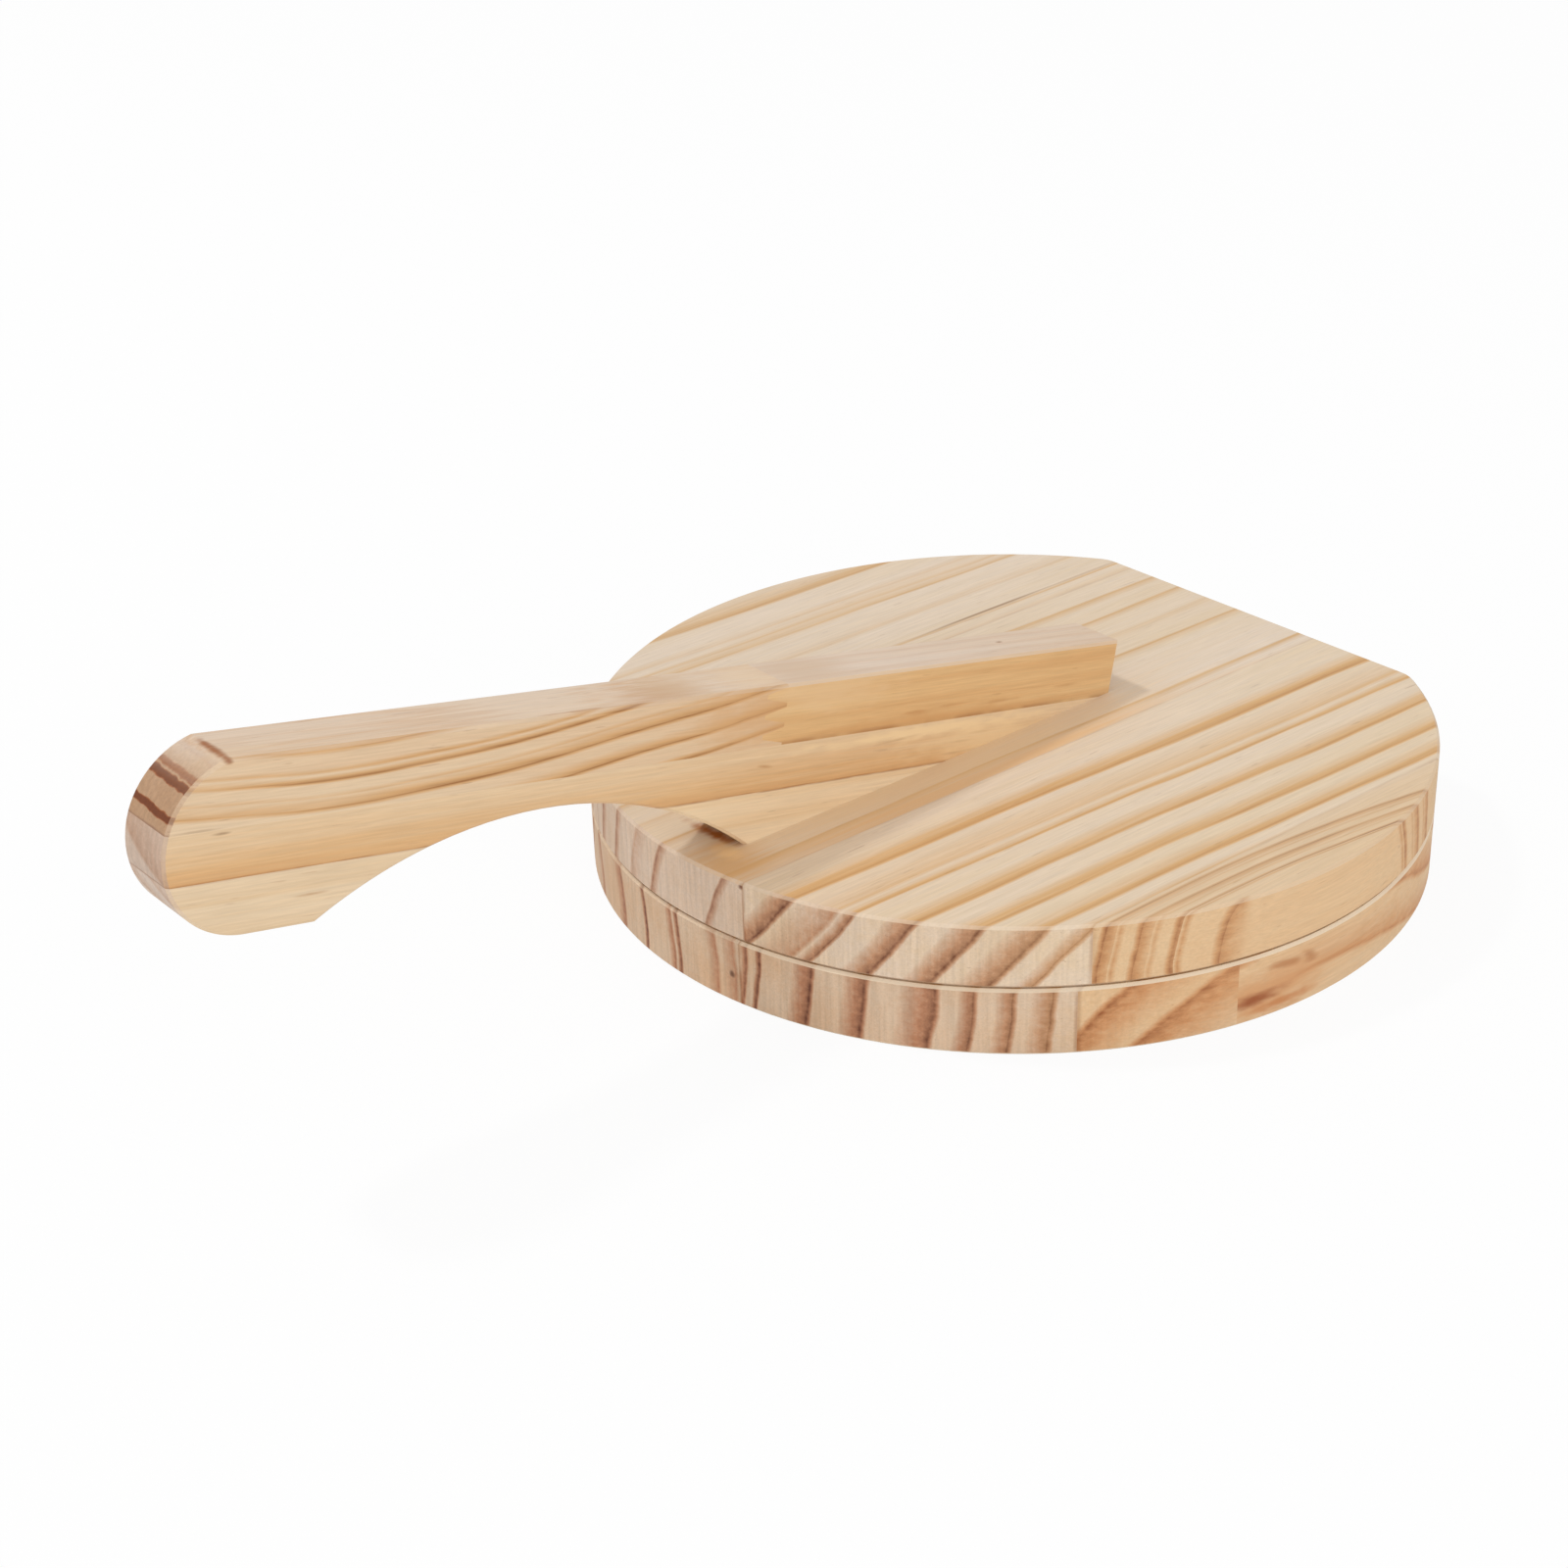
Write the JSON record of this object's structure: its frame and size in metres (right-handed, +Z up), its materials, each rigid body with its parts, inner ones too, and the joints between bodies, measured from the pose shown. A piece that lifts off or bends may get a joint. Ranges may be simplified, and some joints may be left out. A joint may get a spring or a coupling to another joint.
{
  "type": "dumpling wrapper press",
  "caption": "Hinged pair of round pine boards with a tilted plank handle, closed to press a ball of dough into a flat round dumpling wrapper.",
  "frame": {"origin": "centre of the round boards, on the underside of the lower board", "axes": "+Z up, X along the hinge line, +Y towards the hinge side and -Y towards the grip"},
  "size_m": [0.16, 0.2508, 0.0744],
  "materials": {
    "board_pine": "sanded, unvarnished",
    "handle_pine_pale": "sanded, unvarnished",
    "handle_pine_warm": "sanded, unvarnished",
    "handle_pine_amber": "sanded, unvarnished",
    "hinge_brass": "plated, satin",
    "bright_steel": "zinc plated"
  },
  "bodies": {
    "base_board": {"lower_stave_1": "board_pine", "lower_stave_2": "board_pine", "lower_stave_3": "board_pine", "lower_stave_4_front": "board_pine", "lower_stave_4_back": "board_pine", "hinge_1_lower_leaf": "hinge_brass", "hinge_2_lower_leaf": "hinge_brass", "hinge_1_pin": "bright_steel", "hinge_2_pin": "bright_steel", "hinge_screws_lower": "bright_steel"},
    "press_board": {"upper_stave_1": "board_pine", "upper_stave_2": "board_pine", "upper_stave_3": "board_pine", "upper_stave_4": "board_pine", "handle_top_grip": "handle_pine_pale", "handle_top_tip": "handle_pine_amber", "handle_middle": "handle_pine_warm", "handle_knob": "handle_pine_pale", "handle_foot": "handle_pine_pale", "hinge_1_upper_leaf": "hinge_brass", "hinge_2_upper_leaf": "hinge_brass", "hinge_screws_upper": "bright_steel", "handle_screws": "bright_steel"}
  },
  "joints": [
    {"name": "board_hinge", "type": "hinge", "parent": "base_board", "child": "press_board", "pos_m": [0, 0.0714, 0.01295], "axis": [-1, 0, 0], "range_deg": [0, 168]}
  ]
}
